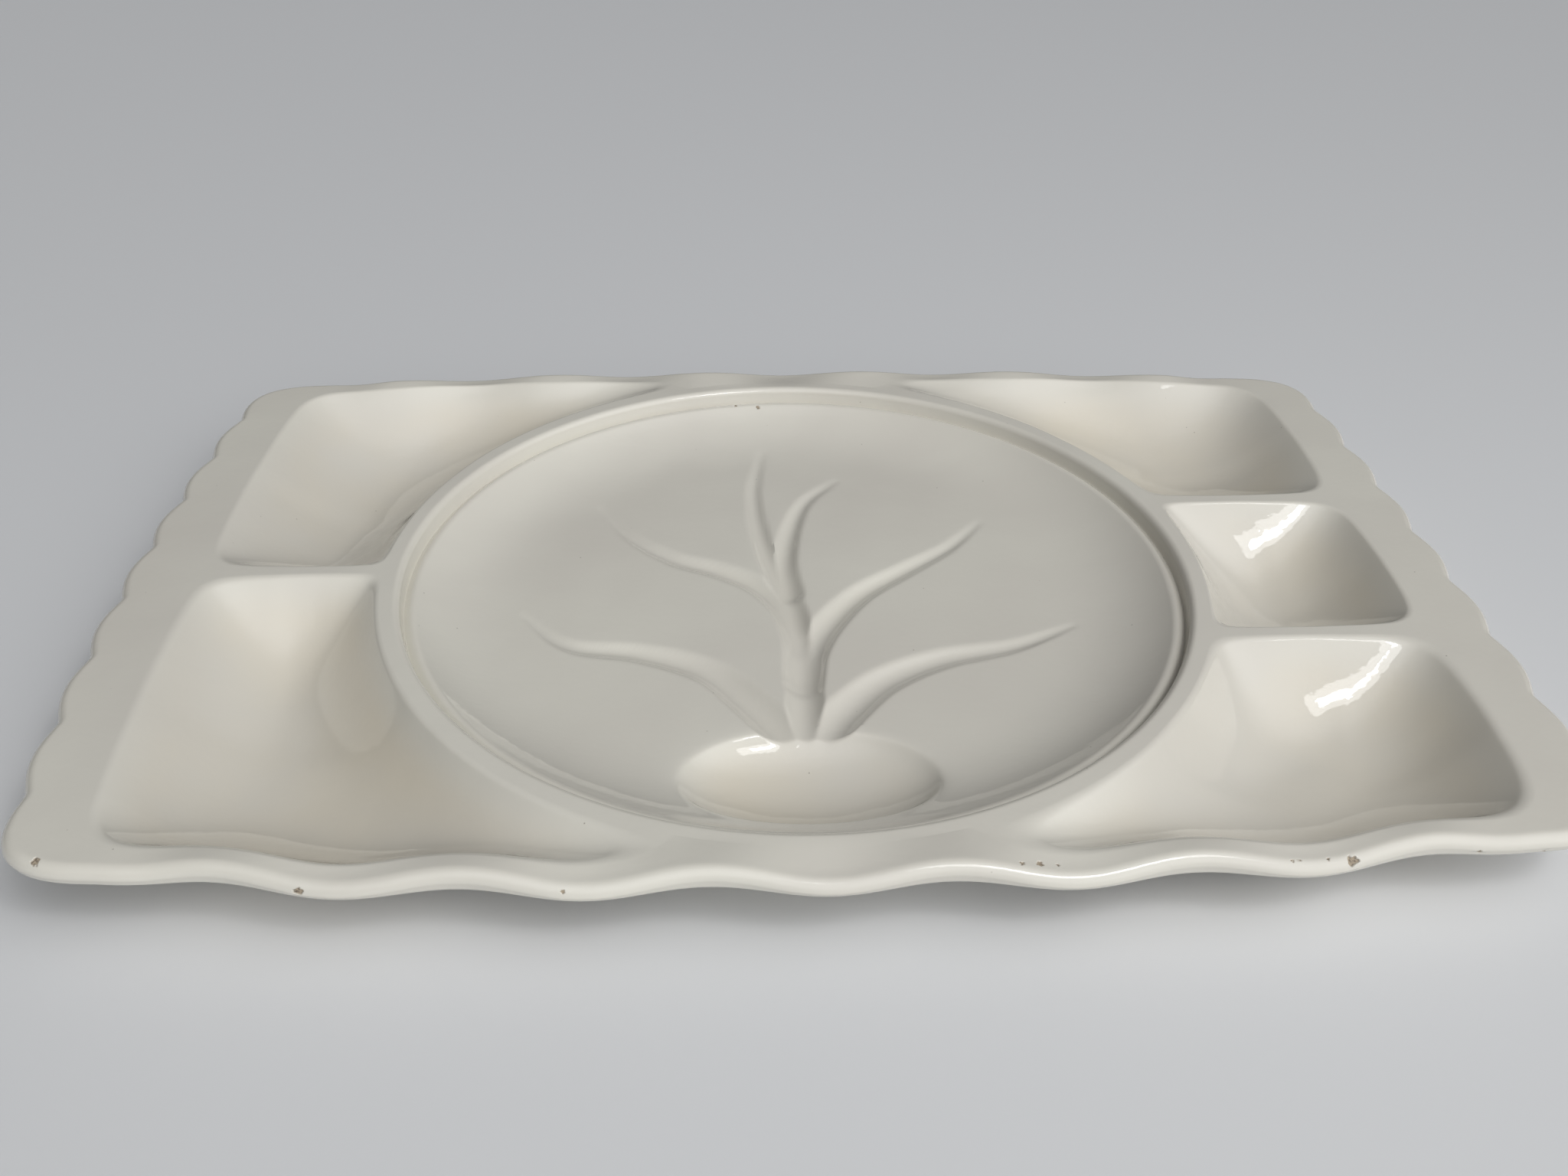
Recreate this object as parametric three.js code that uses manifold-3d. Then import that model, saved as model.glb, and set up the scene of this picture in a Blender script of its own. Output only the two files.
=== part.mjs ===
// Compartmented carving dish in glazed earthenware: a scalloped rectangular dish with a round,
// stepped carving plate in the middle, a tree of drain grooves that runs into a juice well, and
// five bowl-shaped compartments round it. The dish is one casting. It is modelled as the regions
// that the casting is made of, parted where its flat top lets them meet edge to edge.
// Millimetres, +Z up, +X along the length, the juice well towards -Y, the table at z = 0.
import * as THREE from 'three';
import { mergeVertices } from 'three/addons/utils/BufferGeometryUtils.js';
import Module from 'manifold-3d';

const wasm = await Module();
wasm.setup();

// Driving dimensions: the clay
const wall = 7; // thickness of the clay
const seam = 0.3; // clearance between neighbouring regions

// The round carving plate
const ringRadius = 165; // where the ledge starts to round over into the plate
const ledgeWidth = 7; // flat ring between the plate and the compartments
const ringRound = 3; // rounding at the top of the ring's step
const riserLean = 1; // how far the step's riser leans
const stepDrop = 6.5; // ledge to shelf
const shelfWidth = 5; // narrow shelf inside the ring
const plateDepth = 18; // ledge to the plate's flat floor
const coveRun = 50; // width of the soft slope between shelf and floor
const plateOffset = 2.8; // how far the plate sits to the left of the dish's middle

// The juice well, an oval dent in the front of the plate
const wellLength = 96; // along X
const wellWidth = 56; // along Y
const wellDepth = 11; // below the plate's floor
const wellMargin = 5; // strip of plate that belongs to the well
const wellSetback = 6; // shelf to that strip
const wellCrown = 8; // height of the dent's widest section above the floor
const wellClearance = 2; // table to the underside of the well

// The compartments
const bowlWidth = 75.5; // ring ledge to rim, in the middle of a short side
const bowlFloor = 11.5; // flat floor there
const longReach = 5; // how far the compartments' long sides lie beyond the ring ledge
const dividerTop = 4; // flat top of a divider
const leftDivider = -2; // place along Y of the left divider's middle
const backRightDivider = 48;
const frontRightDivider = -56;
const mouthRound = 4; // rounding of the mouth's edge
const edgeTurn = 58; // degrees that the edge turns down before the slope begins
const rimCorner = 20; // corner between rim and divider
const longCorner = 40; // corner between rim and long side
const ringCorner = 9; // corner between divider and ring
const tailWidth = 10; // blunt end of a compartment's tail beside the ring

// The rim and its scalloped lip
const rimBand = 31.5; // compartments to the outer edge of a short side
const longBand = 11; // compartments to the outer edge of a long side
const lipThickness = 11; // diameter of the rolled edge
const lipTurn = 230; // degrees that the edge rolls round, from the top to the underside
const lipUnder = 12; // width of the lip's underside
const lipRise = 1.3; // how far the long lips swing up and down
const sideLobes = 7; // scallops on a short side, between its corners
const sideLobeDepth = 3.6; // valley to crest of a short side's scallop
const sideBow = 3; // how far a short side's middle stands out beyond its ends
const longLobes = 5; // waves on a long side, between its corners
const longLobeDepth = 3.6; // trough to crest of a long side's wave
const longBow = 12; // how far a long side's middle stands out beyond its ends
const cornerAlongSide = 50; // stretch of a short side that belongs to the corner
const cornerAlongLong = 41; // stretch of a long side that belongs to the corner
const cornerFlat = 38; // calm stretch of a long side between its waves and the corner
const cornerBulge = 6; // how far a corner lobe swells past the last valley
const cornerEase = 10; // how far the corner's curve is eased back from a square corner

// The drain grooves
const trunkWidth = 15;
const trunkDepth = 4.5;
const branchWidth = 14;
const branchDepth = 4;
const tipWidth = 5;
const tipDepth = 1;
const grooveTaper = 1.5; // how late a groove narrows towards its tip
const tipSetback = 29; // top of the tree to the shelf

// Smoothness
const curveSteps = 5; // points on each lobe, wave and corner of the outline
const lipSides = 5; // faces round the rolled edge
const ringSteps = 64; // sides of the round plate
const roundSteps = 4; // faces of the ring's rounding
const coveSteps = 4; // faces of the plate's slope
const ovalSteps = 32; // sides of the juice well
const cornerSteps = 4; // faces of a compartment's corner
const longSteps = 4; // faces of a compartment's long side
const arcSteps = 14; // faces of a compartment's curved side
const edgeSteps = 3; // faces of the mouth's rounding
const slopeSteps = 5; // faces of a compartment's slope
const grooveSteps = 10; // sections along a groove
const grooveSides = 8; // sides of a groove's section
const roundShare = 0.9; // most of a side that the roundings at its ends may take
const weld = 1e-4; // points closer than this are one

// Sizes that follow from those
const bowlDepth = plateDepth + wellDepth + wellClearance; // flat top to a compartment's floor
const bowlRun = (bowlWidth - bowlFloor) / 2; // width of a compartment's wall, mouth to floor
const deckHeight = bowlDepth + wall; // table to the flat top of rim, dividers and ring ledge
const lipRadius = lipThickness / 2;
const plateRadius = ringRadius + ledgeWidth;
const stepRadius = ringRadius - ringRound;
const coveRadius = stepRadius - shelfWidth;
const floorRadius = coveRadius - coveRun;
const shelfHeight = deckHeight - stepDrop;
const floorHeight = deckHeight - plateDepth;
const wellCentre = -(coveRadius - wellSetback - wellMargin - wellWidth / 2);
const wellEdge = wellCentre + wellWidth / 2; // place along Y of the well's inner edge
const rimX = plateRadius + bowlWidth;
const dishLength = 2 * (rimX + rimBand);
const dishWidth = 2 * (plateRadius + longReach + longBand);

// Closed meshes to solids and back
function toSolid(geometry) {
  const bare = geometry.clone();
  bare.deleteAttribute('normal');
  bare.deleteAttribute('uv');
  const merged = mergeVertices(bare, weld);
  const triVerts = [];
  const index = merged.index.array;
  for (let i = 0; i < index.length; i += 3) {
    const [a, b, c] = index.slice(i, i + 3);
    if (a !== b && b !== c && c !== a) {
      triVerts.push(a, b, c);
    }
  }
  const vertProperties = Float32Array.from(merged.attributes.position.array);
  const mesh = new wasm.Mesh({ numProp: 3, vertProperties, triVerts: Uint32Array.from(triVerts) });
  return new wasm.Manifold(mesh);
}

function toGeometry(solid) {
  const mesh = solid.getMesh();
  const geometry = new THREE.BufferGeometry();
  geometry.setAttribute('position', new THREE.Float32BufferAttribute(mesh.vertProperties, 3));
  geometry.setIndex(new THREE.Uint32BufferAttribute(mesh.triVerts, 1));
  geometry.computeVertexNormals();
  return geometry;
}

// A closed skin through a stack of loops that all have the same number of points
function loft(loops) {
  const stack = [pole(loops[0]), ...loops, pole(loops[loops.length - 1])];
  const count = loops[0].length;
  const positions = stack.flat().flatMap((p) => [p.x, p.y, p.z]);
  const index = [];
  for (let k = 0; k + 1 < stack.length; k += 1) {
    const low = k * count;
    const high = low + count;
    for (let i = 0; i < count; i += 1) {
      const j = (i + 1) % count;
      index.push(low + i, low + j, high + j, low + i, high + j, high + i);
    }
  }
  const geometry = new THREE.BufferGeometry();
  geometry.setAttribute('position', new THREE.Float32BufferAttribute(positions, 3));
  geometry.setIndex(index);
  return toSolid(geometry);
}

// All of a loop's points drawn together in its middle, to close a skin
function pole(loop) {
  const middle = new THREE.Vector3();
  loop.forEach((p) => middle.add(p));
  middle.divideScalar(loop.length);
  return loop.map(() => middle.clone());
}

function atHeight(points, z) {
  return points.map((p) => new THREE.Vector3(p.x, p.y, z));
}

// An upright prism on a plan outline
function prism(points, low, high) {
  const options = { depth: high - low, bevelEnabled: false };
  const geometry = new THREE.ExtrudeGeometry(new THREE.Shape(points), options);
  return toSolid(geometry.translate(0, 0, low));
}

// Plan outline of the dish, anticlockwise: waves along the long sides, scallops along the short
// sides and a swelling lobe at each corner
const sideSpan = dishWidth / 2 - cornerAlongSide;
const cornerStart = dishLength / 2 - cornerAlongLong;
const longSpan = cornerStart - cornerFlat;
const longPitch = (2 * longSpan) / longLobes;
const sidePitch = (2 * sideSpan) / sideLobes;

function valleyX(y) {
  return dishLength / 2 - sideLobeDepth - sideBow * (y / sideSpan) ** 2;
}

// A long side without its waves
function longSideY(x) {
  return dishWidth / 2 - longBow * Math.abs(x / cornerStart) ** 3;
}

function longWaveY(x) {
  const wave = Math.cos((2 * Math.PI * x) / longPitch) - 1;
  return longSideY(x) + (longLobeDepth / 2) * wave;
}

function dishOutline() {
  const shape = new THREE.Shape();
  const cornerX = valleyX(sideSpan);
  const cornerY = longSideY(cornerStart);
  shape.moveTo(valleyX(-sideSpan) + plateOffset, -sideSpan);
  for (const turn of [1, -1]) {
    const at = (x, y) => [turn * x + plateOffset, turn * y];
    for (let i = 0; i < sideLobes; i += 1) {
      const next = -sideSpan + (i + 1) * sidePitch;
      const middle = next - sidePitch / 2;
      const crest = valleyX(middle) + 2 * sideLobeDepth;
      shape.quadraticCurveTo(...at(crest, middle), ...at(valleyX(next), next));
    }
    const swell = at(cornerX + cornerBulge, cornerY - cornerEase);
    const round = at(cornerX - cornerEase, cornerY);
    shape.bezierCurveTo(...swell, ...round, ...at(cornerStart, cornerY));
    const wave = [];
    for (let k = 0; k <= 2 * longLobes; k += 1) {
      const x = longSpan - (k * longPitch) / 2;
      wave.push(new THREE.Vector2(...at(x, longWaveY(x))));
    }
    wave.push(new THREE.Vector2(...at(-cornerStart, cornerY)));
    shape.splineThru(wave);
    const farRound = at(cornerEase - cornerX, cornerY);
    const farSwell = at(-cornerX - cornerBulge, cornerY - cornerEase);
    shape.bezierCurveTo(...farRound, ...farSwell, ...at(-cornerX, sideSpan));
  }
  const points = shape.getPoints(curveSteps);
  return points.filter((p, i) => p.distanceTo(points[(i + 1) % points.length]) > weld);
}

// The outline moved inwards by a distance
function insetLoop(points, inset) {
  return points.map((p, i) => {
    const before = points[(i + points.length - 1) % points.length];
    const after = points[(i + 1) % points.length];
    const along = after.clone().sub(before).normalize();
    return new THREE.Vector2(p.x - along.y * inset, p.y + along.x * inset);
  });
}

// How far the lip swings up or down at a place in plan: it is low on a wave's crest
function lipLift(x, y) {
  const along = x - plateOffset;
  const swing = -Math.cos((2 * Math.PI * along) / longPitch);
  const depth = longSideY(along) - Math.abs(y);
  const nearEdge = 1 - THREE.MathUtils.smoothstep(depth, lipRadius, longBand);
  const awayFromCorner = 1 - THREE.MathUtils.smoothstep(Math.abs(along), longSpan, cornerStart);
  return lipRise * swing * nearEdge * awayFromCorner;
}

// A compartment's loop in the quarter +X, +Y, moved inwards by a distance
function compartmentLoop({ sx, low, high, hasTail }, inset) {
  const radius = plateRadius + inset;
  const x1 = rimX + sx * plateOffset - inset;
  const y0 = low + inset;
  const mouthY = (x) => longSideY(x - sx * plateOffset) - longBand - inset;
  const onRing = (y) => new THREE.Vector2(Math.sqrt(radius ** 2 - y ** 2), y);
  const corners = [
    { place: onRing(y0), round: ringCorner },
    { place: new THREE.Vector2(x1, y0), round: rimCorner },
  ];
  if (hasTail) {
    const tip = onRing(mouthY(0) - tailWidth);
    for (let k = 0; k <= longSteps; k += 1) {
      const x = THREE.MathUtils.lerp(x1, tip.x, k / longSteps);
      const ends = { 0: longCorner, [longSteps]: tailWidth / 2 };
      corners.push({ place: new THREE.Vector2(x, mouthY(x)), round: ends[k] ?? 0 });
    }
    corners.push({ place: tip, round: tailWidth / 2 });
  } else {
    const y1 = high - inset;
    corners.push({ place: new THREE.Vector2(x1, y1), round: rimCorner });
    corners.push({ place: onRing(y1), round: ringCorner });
  }
  return roundedLoop(corners, radius);
}

// A loop through the corners, each rounded, that closes along an arc round the origin. A side that is
// too short for the roundings at its two ends is shared out between them.
function roundedLoop(corners, radius) {
  const last = corners.length - 1;
  const turnOf = (p) => Math.atan2(p.y, p.x);
  const onArc = (turn, r = radius) => new THREE.Vector2(r * Math.cos(turn), r * Math.sin(turn));
  const arcLength = radius * (turnOf(corners[last].place) - turnOf(corners[0].place));
  const points = [];
  corners.forEach(({ place, round }, i) => {
    if (round === 0) {
      points.push(place);
      return;
    }
    const before = corners[(i + last) % corners.length];
    const after = corners[(i + 1) % corners.length];
    const sideBefore = i === 0 ? arcLength : place.distanceTo(before.place);
    const sideAfter = i === last ? arcLength : place.distanceTo(after.place);
    const roomBefore = (roundShare * sideBefore * round) / (round + before.round);
    const roomAfter = (roundShare * sideAfter * round) / (round + after.round);
    const reach = Math.min(round, roomBefore, roomAfter);
    const start = i === 0
      ? onArc(turnOf(place) + reach / radius)
      : place.clone().lerp(before.place, reach / sideBefore);
    const end = i === last
      ? onArc(turnOf(place) - reach / radius)
      : place.clone().lerp(after.place, reach / sideAfter);
    points.push(...new THREE.QuadraticBezierCurve(start, place, end).getPoints(cornerSteps));
  });
  const from = turnOf(points[points.length - 1]);
  const to = turnOf(points[0]);
  // The flats between these points touch the arc from outside, so that they stay clear of the ring
  const outer = radius / Math.cos((to - from) / arcSteps / 2);
  for (let k = 1; k < arcSteps; k += 1) {
    points.push(onArc(from + ((to - from) * k) / arcSteps, outer));
  }
  return points;
}

// The five compartments: the quarter of the dish that each is drawn in, the dividers that bound it,
// and whether it runs out along the ring in a tail
const halfDivider = dividerTop / 2;
const compartments = [
  { name: 'back_left_compartment', sx: -1, sy: 1, low: leftDivider + halfDivider, hasTail: true },
  { name: 'front_left_compartment', sx: -1, sy: -1, low: halfDivider - leftDivider, hasTail: true },
  { name: 'back_right_compartment', sx: 1, sy: 1, low: backRightDivider + halfDivider, hasTail: true },
  {
    name: 'middle_right_compartment', sx: 1, sy: 1,
    low: frontRightDivider + halfDivider, high: backRightDivider - halfDivider, hasTail: false,
  },
  { name: 'front_right_compartment', sx: 1, sy: -1, low: halfDivider - frontRightDivider, hasTail: true },
];

function placedLoop(compartment, inset) {
  const { sx, sy } = compartment;
  const points = compartmentLoop(compartment, inset).map((p) => new THREE.Vector2(sx * p.x, sy * p.y));
  return sx * sy < 0 ? points.reverse() : points;
}

// Section of a compartment's inside, from the mouth to the floor: a rounded edge and a soft slope
function bowlSection() {
  const fullTurn = THREE.MathUtils.degToRad(edgeTurn);
  const onEdge = (turn) => [mouthRound * Math.sin(turn), mouthRound * (1 - Math.cos(turn))];
  const section = [];
  for (let k = 0; k < edgeSteps; k += 1) {
    section.push(onEdge((fullTurn * k) / edgeSteps));
  }
  const [startInset, startDrop] = onEdge(fullTurn);
  for (let k = 0; k <= slopeSteps; k += 1) {
    const share = k / slopeSteps;
    const fall = Math.sin((share * Math.PI) / 2);
    section.push([
      startInset + (bowlRun - startInset) * share,
      startDrop + (bowlDepth - startDrop) * fall,
    ]);
  }
  return section.map(([inset, drop]) => new THREE.Vector2(inset, deckHeight - drop));
}

// The section moved out through the clay by the wall's thickness, kept inside the mouth's outline
function outerSection(section) {
  const last = section.length - 1;
  const outer = [new THREE.Vector2(0, deckHeight - wall)];
  for (let i = 1; i <= last; i += 1) {
    const p = section[i];
    const along = new THREE.Vector2(1, 0);
    if (i < last) {
      along.subVectors(section[i + 1], section[i - 1]).normalize();
    }
    const inset = p.x + along.y * wall;
    if (inset > 0) {
      outer.push(new THREE.Vector2(inset, p.y - along.x * wall));
    }
  }
  return outer;
}

// A compartment: a soft bowl of even thickness, hung from the deck and standing on its flat base
function compartmentSolid(compartment) {
  const inside = bowlSection();
  const outside = outerSection(inside).reverse();
  const section = [...outside, ...inside];
  return loft(section.map((p) => atHeight(placedLoop(compartment, seam + p.x), p.y)));
}

// Height of the plate's upper face inside the shelf: a flat floor with a soft slope round it
function plateTop(radius) {
  const rise = shelfHeight - floorHeight;
  const bend = (coveRun ** 2 + rise ** 2) / (2 * rise);
  const out = THREE.MathUtils.clamp(radius - floorRadius, 0, coveRun);
  return floorHeight + bend - Math.sqrt(bend ** 2 - out ** 2);
}

// The round plate before its grooves and well are cut
function plateBlank() {
  const top = [[0, floorHeight]];
  const bottom = [[0, floorHeight - wall]];
  for (let k = 0; k <= coveSteps; k += 1) {
    const radius = floorRadius + (coveRun * k) / coveSteps;
    top.push([radius, plateTop(radius)]);
    bottom.push([radius, plateTop(radius) - wall]);
  }
  top.push([stepRadius - riserLean, shelfHeight]);
  for (let k = 0; k <= roundSteps; k += 1) {
    const turn = ((k / roundSteps) * Math.PI) / 2;
    const radius = ringRadius - ringRound * Math.cos(turn);
    top.push([radius, deckHeight - ringRound * (1 - Math.sin(turn))]);
  }
  top.push([plateRadius, deckHeight]);
  bottom.push([stepRadius, shelfHeight - wall], [plateRadius, deckHeight - wall]);
  const profile = [...bottom, ...top.reverse()].map(([r, z]) => new THREE.Vector2(r, z));
  return toSolid(new THREE.LatheGeometry(profile, ringSteps).rotateX(Math.PI / 2));
}

// The tree: a trunk that opens into the well, and branches that taper to their tips. The points are
// millimetres from the middle of the well's inner edge, drawn for a tree of drawnHeight.
const drawnHeight = 218;
const trunk = [[0, -10], [1, 30], [2, 60], [2, 82]];
const branches = [
  [[-8, -2], [-21, 18], [-38, 38], [-65, 50], [-94, 56], [-115, 78]],
  [[8, -2], [18, 13], [34, 30], [58, 43], [89, 51], [117, 65]],
  [[3, 62], [-12, 96], [-31, 110], [-53, 121], [-73, 140], [-88, 165]],
  [[3, 52], [13, 66], [29, 91], [49, 108], [72, 127], [90, 149]],
  [[2, 76], [-7, 104], [-14, 139], [-15, 178], [-10, 218]],
  [[1, 86], [-2, 120], [2, 148], [10, 170], [26, 189]],
];

// A groove's cutter: a round bar along a plan curve, sunk into the plate by the groove's depth
function grooveCutter(drawn, widths, depths) {
  const scale = (coveRadius - tipSetback - wellEdge) / drawnHeight;
  const plan = drawn.map(([x, y]) => new THREE.Vector3(x * scale, wellEdge + y * scale, 0));
  const curve = new THREE.CatmullRomCurve3(plan);
  const loops = [];
  for (let k = 0; k <= grooveSteps; k += 1) {
    const place = curve.getPointAt(k / grooveSteps);
    const ahead = curve.getTangentAt(k / grooveSteps);
    const across = new THREE.Vector3(ahead.y, -ahead.x, 0);
    const tapered = (k / grooveSteps) ** grooveTaper;
    const width = THREE.MathUtils.lerp(...widths, tapered);
    const depth = THREE.MathUtils.lerp(...depths, tapered);
    const radius = width ** 2 / (8 * depth) + depth / 2;
    const height = plateTop(place.length()) + radius - depth;
    const loop = [];
    for (let i = 0; i < grooveSides; i += 1) {
      const turn = -((i + 1 / 2) * 2 * Math.PI) / grooveSides;
      const point = place.clone().addScaledVector(across, radius * Math.cos(turn));
      loop.push(point.setZ(height + radius * Math.sin(turn)));
    }
    loops.push(loop);
  }
  return loft(loops);
}

function treeCutters() {
  const cutters = [grooveCutter(trunk, [trunkWidth, branchWidth], [trunkDepth, branchDepth])];
  for (const branch of branches) {
    cutters.push(grooveCutter(branch, [branchWidth, tipWidth], [branchDepth, tipDepth]));
  }
  return cutters;
}

// The well: its plan oval, and a ball for its dent and for the swelling of clay below the dent
function wellOval(margin) {
  const oval = new THREE.EllipseCurve(0, wellCentre, wellLength / 2 + margin, wellWidth / 2 + margin);
  return oval.getPoints(ovalSteps).slice(0, -1);
}

function wellBall(margin) {
  const tall = wellDepth + wellCrown + margin;
  const spread = 1 / Math.sqrt(1 - (wellCrown / (wellDepth + wellCrown)) ** 2);
  const ball = new THREE.SphereGeometry(1, ovalSteps, ovalSteps / 2).rotateX(Math.PI / 2);
  ball.scale((wellLength / 2) * spread + margin, (wellWidth / 2) * spread + margin, tall);
  return toSolid(ball.translate(0, wellCentre, floorHeight + wellCrown));
}

function carvingPlate(blank, cutters) {
  let plate = blank.subtract(prism(wellOval(wellMargin), 0, deckHeight));
  for (const cutter of cutters) {
    plate = plate.subtract(cutter);
  }
  return plate;
}

function juiceWell(blank, cutters) {
  const within = prism(wellOval(wellMargin - seam), 0, deckHeight);
  const below = prism(wellOval(wellMargin), 0, floorHeight - wall / 2);
  const swelling = wellBall(wall).intersect(below);
  let well = blank.add(swelling).intersect(within).subtract(wellBall(0));
  for (const cutter of cutters) {
    well = well.subtract(cutter);
  }
  return well;
}

// The rim: a flat deck with a rolled, scalloped lip, open where the plate and compartments sit
function scallopedRim() {
  const outline = dishOutline();
  const lifted = (p, z) => new THREE.Vector3(p.x, p.y, z + lipLift(p.x, p.y));
  const at = (inset, z) => insetLoop(outline, inset).map((p) => lifted(p, z));
  const loops = [at(lipUnder, deckHeight - wall)];
  for (let k = lipSides; k >= 0; k -= 1) {
    const turn = Math.PI / 2 - THREE.MathUtils.degToRad((lipTurn * k) / lipSides);
    const inset = lipRadius * (1 - Math.cos(turn));
    loops.push(at(inset, deckHeight - lipRadius * (1 - Math.sin(turn))));
  }
  loops.push(at(longBand, deckHeight));
  let rim = loft(loops);
  const low = deckHeight - 2 * lipThickness;
  const high = deckHeight + lipThickness;
  const holeRadius = (plateRadius + seam) / Math.cos(Math.PI / ringSteps);
  const plateHole = new THREE.CylinderGeometry(holeRadius, holeRadius, high - low, ringSteps);
  plateHole.rotateX(Math.PI / 2).translate(0, 0, (low + high) / 2);
  rim = rim.subtract(toSolid(plateHole));
  for (const compartment of compartments) {
    rim = rim.subtract(prism(placedLoop(compartment, 0), low, high));
  }
  return rim;
}

// Glazed earthenware, warm white
function glaze() {
  return new THREE.MeshStandardMaterial({ color: '#dedbd2', roughness: 0.14, metalness: 0 });
}

// The plate's axis is the origin up to here, and the dish's middle from here on
const dish = new THREE.Group();
dish.position.x = -plateOffset;

function add(name, solid) {
  const mesh = new THREE.Mesh(toGeometry(solid), glaze());
  mesh.name = name;
  dish.add(mesh);
}

const blank = plateBlank();
const cutters = treeCutters();
add('scalloped_rim', scallopedRim());
add('carving_plate', carvingPlate(blank, cutters));
add('juice_well', juiceWell(blank, cutters));
for (const compartment of compartments) {
  add(compartment.name, compartmentSolid(compartment));
}

export default dish;
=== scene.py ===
import math

import bmesh
import bpy
from mathutils import Matrix, Vector, geometry, kdtree, noise


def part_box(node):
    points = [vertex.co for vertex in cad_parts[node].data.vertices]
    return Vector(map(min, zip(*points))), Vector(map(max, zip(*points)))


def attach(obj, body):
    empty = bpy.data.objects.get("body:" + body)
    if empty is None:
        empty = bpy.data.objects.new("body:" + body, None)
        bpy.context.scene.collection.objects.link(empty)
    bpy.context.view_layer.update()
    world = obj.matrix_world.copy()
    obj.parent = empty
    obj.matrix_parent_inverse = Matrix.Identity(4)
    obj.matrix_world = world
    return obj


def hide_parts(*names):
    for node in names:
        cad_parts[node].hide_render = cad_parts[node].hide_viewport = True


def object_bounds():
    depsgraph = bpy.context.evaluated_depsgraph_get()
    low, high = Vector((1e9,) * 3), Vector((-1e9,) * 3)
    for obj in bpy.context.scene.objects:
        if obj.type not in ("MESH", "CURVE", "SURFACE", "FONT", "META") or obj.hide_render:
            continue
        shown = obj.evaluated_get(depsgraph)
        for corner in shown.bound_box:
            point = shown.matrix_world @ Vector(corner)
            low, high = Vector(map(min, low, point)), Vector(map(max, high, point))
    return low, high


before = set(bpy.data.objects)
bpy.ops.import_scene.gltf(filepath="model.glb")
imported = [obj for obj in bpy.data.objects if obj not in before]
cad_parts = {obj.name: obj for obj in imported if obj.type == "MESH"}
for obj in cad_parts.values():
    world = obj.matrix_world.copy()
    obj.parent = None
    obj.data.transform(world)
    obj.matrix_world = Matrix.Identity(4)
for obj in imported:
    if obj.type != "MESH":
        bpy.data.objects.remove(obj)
cadLow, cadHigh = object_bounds()
mm = 0.001  # shapes are worked out in millimetres and scaled at the end
tiny = 1e-9  # keeps a division from failing


def boxMm(node):
    low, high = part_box(node)
    return low / mm, high / mm


def smoothStep(value, low, high):
    t = min(1.0, max(0.0, (value - low) / (high - low)))
    return t * t * (3 - 2 * t)


def mix(a, b, share):
    return a + (b - a) * share


def smoothMin(a, b, reach):
    # the smaller of two heights, with the crease between them rounded off
    h = max(reach - abs(a - b), 0.0) / reach
    return min(a, b) - h * h * reach / 4


def srgb(hexCode):
    parts = [int(hexCode[i:i + 2], 16) / 255 for i in (1, 3, 5)]
    return [c / 12.92 if c <= 0.04045 else ((c + 0.055) / 1.055) ** 2.4 for c in parts] + [1.0]


def addNode(tree, kind, output, settings=None, inputs=None):
    # adds a node with its settings, values and links, and gives one of its outputs
    node = tree.nodes.new(kind)
    for key, value in (settings or {}).items():
        setattr(node, key, value)
    for key, value in (inputs or {}).items():
        if isinstance(value, bpy.types.NodeSocket):
            tree.links.new(value, node.inputs[key])
        else:
            node.inputs[key].default_value = value
    return node.outputs[output]


# the dish as a whole, read off the frame
plateLow, plateHigh = boxMm("carving_plate")
dish = {
    "axisX": (plateLow.x + plateHigh.x) / 2,  # the plate's axis, a little left of the middle
    "ledgeRadius": (plateHigh.x - plateLow.x) / 2,
    "deck": plateHigh.z,  # flat top above the table
    "halfLength": cadHigh.x / mm,
    "halfWidth": cadHigh.y / mm,
    "wall": 7.0,
    "seam": 0.3,  # clearance that the frame's solids keep
    "crease": math.radians(65),  # only the hidden walls at the seams are sharper
}

# the scalloped lip
lip = {
    "sideLobes": 7,
    "sideLobeDepth": 3.6,
    "sideBow": 3.0,
    "cornerAlongSide": 50.0,
    "longLobes": 5,
    "longLobeDepth": 3.6,
    "longBow": 12.0,
    "cornerAlongLong": 41.0,
    "cornerFlat": 38.0,
    "cornerBulge": 6.0,
    "cornerEase": 10.0,
    "valleySoftness": 0.14,  # rounding of the valleys between scallops
    "rise": 1.9,  # swing of the long lips' top up and down
    "riseDepth": (4.0, 22.0),  # the swing fades out between these distances from the edge
    "riseBelow": (0.3, 9.0, 3.0),  # share of it that the underside takes, and where it fades to that
    "leftSwell": 4.0,  # the left side bows out by this much more in its middle
    "swellFrom": 185.0,
    "band": 7.6,  # rolled strip inside the outline
    "topRound": 4.4,
    "face": 1.1,
    "faceLean": 0.6,
    "underRound": 2.2,
    "around": 1320,  # columns of the mesh
    "samples": 60,  # points on a corner of the outline, and on half of a side
    "smoothRounds": 8,
    "seamRow": 0.2,  # a close row beside the seam
    "flatRows": 4,
    "topRows": 12,
    "underRows": 8,
    "backRows": 3,
}
lip["sideSpan"] = dish["halfWidth"] - lip["cornerAlongSide"]
lip["cornerStart"] = dish["halfLength"] - lip["cornerAlongLong"]
lip["longSpan"] = lip["cornerStart"] - lip["cornerFlat"]
lip["longPitch"] = 2 * lip["longSpan"] / lip["longLobes"]
lip["sidePitch"] = 2 * lip["sideSpan"] / lip["sideLobes"]


def valleyX(y):
    bow = lip["sideBow"] * (y / lip["sideSpan"]) ** 2
    return dish["halfLength"] - lip["sideLobeDepth"] - bow


def longEdgeY(x):
    return dish["halfWidth"] - lip["longBow"] * abs(x / lip["cornerStart"]) ** 3


def longWave(x):
    # the long lips swing in and out
    return lip["longLobeDepth"] / 2 * (math.cos(2 * math.pi * x / lip["longPitch"]) - 1)


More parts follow.
